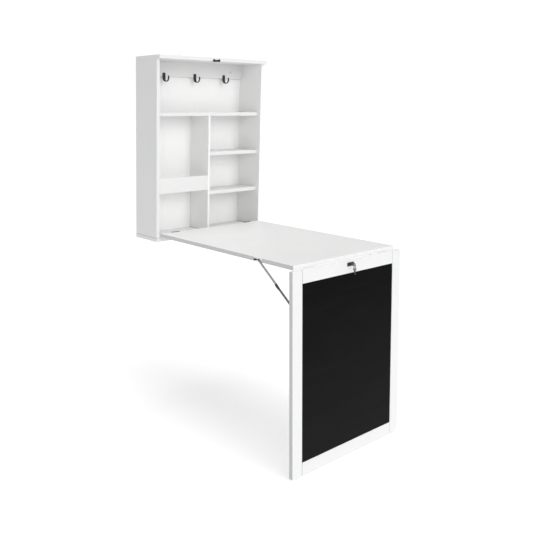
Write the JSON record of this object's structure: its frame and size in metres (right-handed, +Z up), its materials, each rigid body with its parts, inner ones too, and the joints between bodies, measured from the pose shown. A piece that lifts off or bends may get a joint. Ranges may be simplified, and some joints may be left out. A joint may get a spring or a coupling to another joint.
{
  "type": "secretary desk",
  "caption": "Wall-hung fold-out desk: a shallow white cabinet whose desktop swings down on a folding framed chalkboard leg, which closes and locks it.",
  "frame": {"origin": "bottom centre of the unfolded desk's bounding box, on the floor", "axes": "+X to the desk's right as seen from in front, +Y towards the wall, +Z up"},
  "size_m": [0.6, 0.912, 1.4551],
  "materials": {
    "white_board": "white melamine, satin",
    "white_hardboard": "white laminate, satin",
    "chalkboard_black": "black chalkboard paint, matt",
    "black_metal": "black powder coat",
    "dark_nickel_steel": "dark nickel plate",
    "zinc_steel": "zinc plate",
    "nickel_brass": "nickel plate",
    "nickel_steel": "nickel plate",
    "beech": "bare beech",
    "black_plastic": "moulded",
    "white_plastic": "moulded"
  },
  "bodies": {
    "cabinet": {"top_board": "white_board", "bottom_board": "white_board", "left_side_panel": "white_board", "right_side_panel": "white_board", "back_panel": "white_hardboard", "hanging_rail": "white_board", "main_shelf": "white_board", "centre_divider": "white_board", "upper_shelf": "white_board", "lower_shelf": "white_board", "guard_strip": "white_board", "left_hook": "black_metal", "centre_hook": "black_metal", "right_hook": "black_metal", "hook_screws": "black_metal", "strike_plate": "black_metal", "strike_screws": "black_metal", "cabinet_hinge_leaves": "dark_nickel_steel", "cabinet_hinge_pins": "dark_nickel_steel", "cabinet_hinge_screws": "dark_nickel_steel", "carcass_dowels": "beech", "carcass_screws": "zinc_steel"},
    "desktop": {"desk_panel": "white_board", "desk_hinge_leaves": "dark_nickel_steel", "desk_hinge_screws": "dark_nickel_steel", "leg_hinge_top_leaves": "dark_nickel_steel", "leg_hinge_pins": "dark_nickel_steel", "leg_hinge_top_screws": "dark_nickel_steel", "stay_plates": "dark_nickel_steel", "stay_plate_screws": "dark_nickel_steel", "stay_studs": "dark_nickel_steel", "stay_stops": "black_plastic"},
    "leg": {"left_stile": "white_board", "right_stile": "white_board", "top_rail": "white_board", "bottom_rail": "white_board", "backing_panel": "white_hardboard", "chalkboard": "chalkboard_black", "leg_dowels": "beech", "leg_hinge_bottom_leaves": "dark_nickel_steel", "leg_hinge_bottom_screws": "dark_nickel_steel", "stay_ears": "dark_nickel_steel", "stay_ear_screws": "dark_nickel_steel", "lock_case": "zinc_steel", "lock_plate": "black_metal", "lock_plate_screws": "black_metal", "foot_glides": "white_plastic"},
    "left_upper_stay": {"left_upper_stay_bar": "dark_nickel_steel"},
    "left_lower_stay": {"left_lower_stay_bar": "dark_nickel_steel", "left_knee_cap": "black_metal"},
    "right_upper_stay": {"right_upper_stay_bar": "dark_nickel_steel"},
    "right_lower_stay": {"right_lower_stay_bar": "dark_nickel_steel", "right_knee_cap": "black_metal"},
    "key_and_plug": {"lock_plug": "nickel_brass", "key": "nickel_steel"},
    "bolt": {"lock_bolt": "zinc_steel"},
    "spare_key_on_ring": {"key_ring": "nickel_steel", "spare_key": "nickel_steel"}
  },
  "joints": [
    {"name": "desk_fold", "type": "hinge", "parent": "cabinet", "child": "desktop", "pos_m": [0, 0.30876, 0.71711], "axis": [-1, 0, 0], "range_deg": [0, 90]},
    {"name": "leg_fold", "type": "hinge", "parent": "desktop", "child": "leg", "pos_m": [0, -0.41204, 0.71891], "axis": [1, 0, 0], "range_deg": [0, 92.3]},
    {"name": "left_upper_stay_turn", "type": "hinge", "parent": "desktop", "child": "left_upper_stay", "pos_m": [-0.2816, -0.25404, 0.72641], "axis": [-1, 0, 0], "range_deg": [0, 39.81]},
    {"name": "left_lower_stay_turn", "type": "hinge", "parent": "leg", "child": "left_lower_stay", "pos_m": [-0.2816, -0.40879, 0.60069], "axis": [1, 0, 0], "range_deg": [0, 47.89]},
    {"name": "right_upper_stay_turn", "type": "hinge", "parent": "desktop", "child": "right_upper_stay", "pos_m": [0.2816, -0.25404, 0.72641], "axis": [-1, 0, 0], "range_deg": [0, 39.81]},
    {"name": "right_lower_stay_turn", "type": "hinge", "parent": "leg", "child": "right_lower_stay", "pos_m": [0.2816, -0.40879, 0.60069], "axis": [1, 0, 0], "range_deg": [0, 47.89]},
    {"name": "bolt_slide", "type": "slide", "parent": "leg", "child": "bolt", "axis": [0, 0.0401, 0.9992], "range_m": [0, 0.00552]},
    {"name": "key_turn", "type": "hinge", "parent": "leg", "child": "key_and_plug", "pos_m": [0, -0.42282, 0.70478], "axis": [0, -0.9992, 0.0401], "range_deg": [0, 90]},
    {"name": "spare_key_swing", "type": "hinge", "parent": "key_and_plug", "child": "spare_key_on_ring", "pos_m": [0, -0.4463, 0.70573], "axis": [-1, 0, 0], "range_deg": [-20, 80]}
  ],
  "couplings": [
    {"joint": "leg_fold", "follows": "desk_fold", "ratio": 1.0255},
    {"joint": "left_upper_stay_turn", "follows": "desk_fold", "ratio": 0.44233},
    {"joint": "left_lower_stay_turn", "follows": "desk_fold", "ratio": 0.53212},
    {"joint": "right_upper_stay_turn", "follows": "desk_fold", "ratio": 0.44233},
    {"joint": "right_lower_stay_turn", "follows": "desk_fold", "ratio": 0.53212},
    {"joint": "key_turn", "follows": "bolt_slide", "rad_per_m": 284.54}
  ]
}
